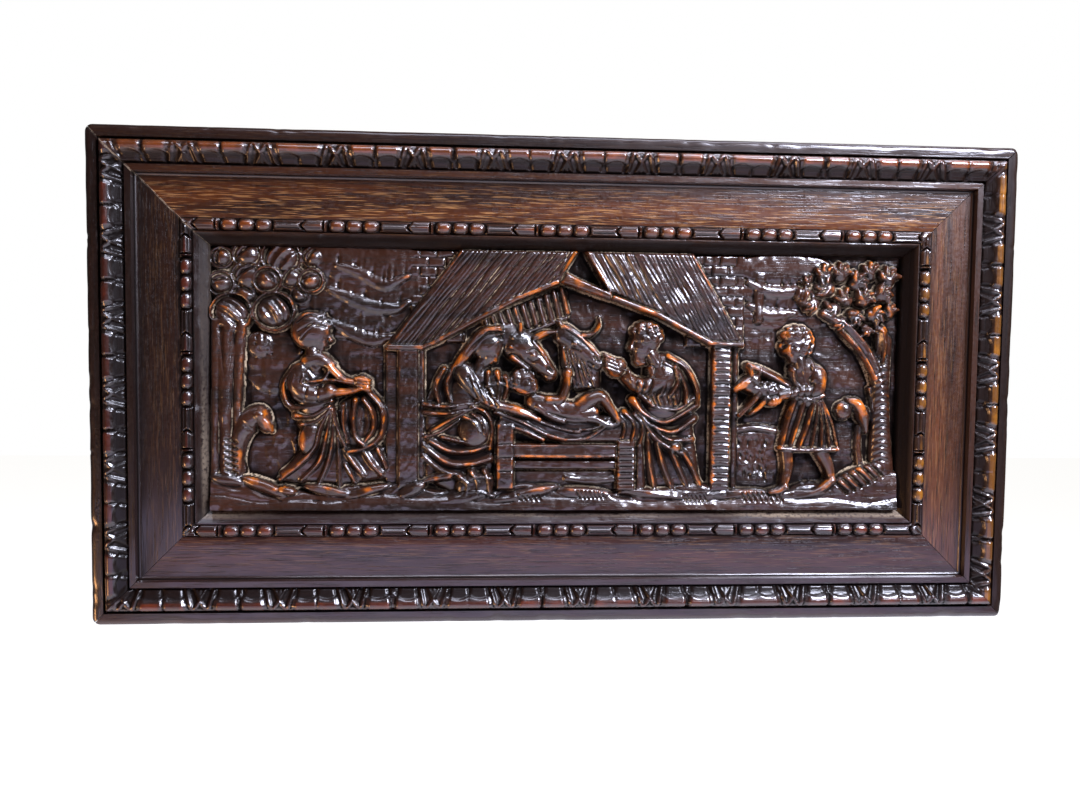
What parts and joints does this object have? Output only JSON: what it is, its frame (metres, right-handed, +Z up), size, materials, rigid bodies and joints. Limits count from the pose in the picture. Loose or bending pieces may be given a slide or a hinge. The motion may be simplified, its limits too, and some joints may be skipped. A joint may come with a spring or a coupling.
{
  "type": "nativity relief",
  "caption": "Wide oak panel carved in relief with a nativity scene under a stable roof, in a mitred frame with leaf-and-dart and bead mouldings, flat at the back for hanging.",
  "frame": {"origin": "middle of the flat back, on the back of the carved board", "axes": "+X to the right as one looks at the carving, +Z up, +Y out of the back towards the wall; the carving faces -Y"},
  "size_m": [0.74, 0.0438, 0.388],
  "materials": {
    "panel_oak": "waxed dark oak, glossy on the crests",
    "frame_oak": "waxed dark oak with open pores"
  },
  "bodies": {
    "root": {"carved_panel": "panel_oak", "frame_top_rail": "frame_oak", "frame_bottom_rail": "frame_oak", "frame_left_stile": "frame_oak", "frame_right_stile": "frame_oak"}
  },
  "joints": []
}
